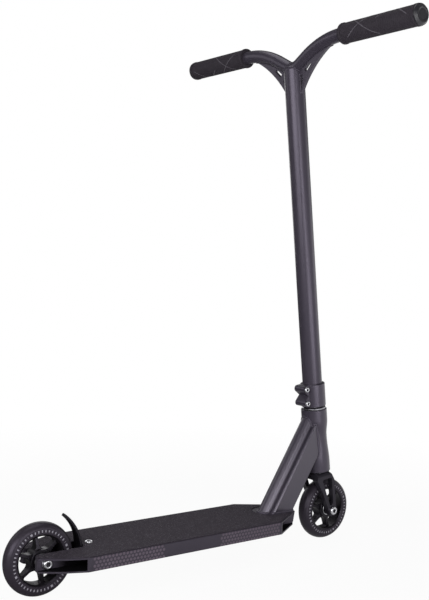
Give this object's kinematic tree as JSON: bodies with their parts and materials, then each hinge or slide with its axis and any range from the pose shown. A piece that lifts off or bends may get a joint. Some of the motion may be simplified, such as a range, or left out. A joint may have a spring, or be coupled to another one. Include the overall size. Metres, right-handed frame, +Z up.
{
  "type": "stunt scooter",
  "caption": "Fixed-bar stunt scooter: hollow deck with a flex brake, welded neck, windowed fork, clamped Y bar with gussets, and small solid wheels.",
  "frame": {"origin": "on the ground, midway between the axles, on the centre plane", "axes": "+X forward, +Y to the rider's left, +Z up"},
  "size_m": [0.686, 0.5646, 0.8856],
  "materials": {
    "graphite_paint": "satin",
    "graphite_anodising": "satin",
    "black_metal": "satin black",
    "bright_steel": "bright",
    "polished_aluminium": "polished",
    "wheel_tyre": "satin",
    "grip_tape": "abrasive",
    "grip_rubber": "matte",
    "bar_end_plastic": "satin"
  },
  "bodies": {
    "deck": {"deck": "graphite_anodising", "neck": "graphite_anodising", "head_tube": "graphite_anodising", "grip_tape": "grip_tape", "brake_foot": "black_metal", "brake_bolt": "bright_steel", "brake_nut": "bright_steel", "rear_axle_bolt": "bright_steel", "rear_axle_nut": "bright_steel", "rear_axle_washer_left": "bright_steel", "rear_axle_washer_right": "bright_steel", "rear_spacer_left": "bright_steel", "rear_spacer_right": "bright_steel", "rear_bearing_sleeve": "bright_steel", "headset_bearing_lower": "bright_steel", "headset_bearing_upper": "bright_steel"},
    "brake": {"brake_blade": "black_metal"},
    "rear_wheel": {"rear_tyre": "wheel_tyre", "rear_wheel_core": "black_metal", "rear_bearing_left": "bright_steel", "rear_bearing_right": "bright_steel"},
    "steering": {"fork": "black_metal", "steerer": "bright_steel", "crown_race": "bright_steel", "compression_ring": "bright_steel", "headset_cap": "polished_aluminium", "steerer_shim": "black_metal", "compression_cap": "black_metal", "compression_bolt": "bright_steel", "star_nut": "bright_steel", "clamp": "graphite_anodising", "clamp_bolt_upper": "bright_steel", "clamp_bolt_lower": "bright_steel", "bar_down_tube": "graphite_paint", "bar_crossbar": "graphite_paint", "gusset_left": "graphite_paint", "gusset_right": "graphite_paint", "grip_left": "grip_rubber", "grip_right": "grip_rubber", "bar_end_left": "bar_end_plastic", "bar_end_right": "bar_end_plastic", "front_axle_bolt": "bright_steel", "front_axle_nut": "bright_steel", "front_spacer_left": "bright_steel", "front_spacer_right": "bright_steel", "front_bearing_sleeve": "bright_steel"},
    "front_wheel": {"front_tyre": "wheel_tyre", "front_wheel_core": "black_metal", "front_bearing_left": "bright_steel", "front_bearing_right": "bright_steel"}
  },
  "joints": [
    {"name": "rear_wheel_spin", "type": "hinge", "parent": "deck", "child": "rear_wheel", "pos_m": [-0.288, 0, 0.055], "axis": [0, 1, 0], "continuous": true},
    {"name": "brake_flex", "type": "hinge", "parent": "deck", "child": "brake", "pos_m": [-0.22147, 0, 0.05977], "axis": [0, -1, 0], "range_deg": [0, 15], "stiffness_Nm_per_rad": 20},
    {"name": "steering_turn", "type": "hinge", "parent": "deck", "child": "steering", "pos_m": [0.28007, 0, 0.05396], "axis": [-0.1305, 0, 0.9914], "continuous": true},
    {"name": "front_wheel_spin", "type": "hinge", "parent": "steering", "child": "front_wheel", "pos_m": [0.288, 0, 0.055], "axis": [0, 1, 0], "continuous": true}
  ]
}
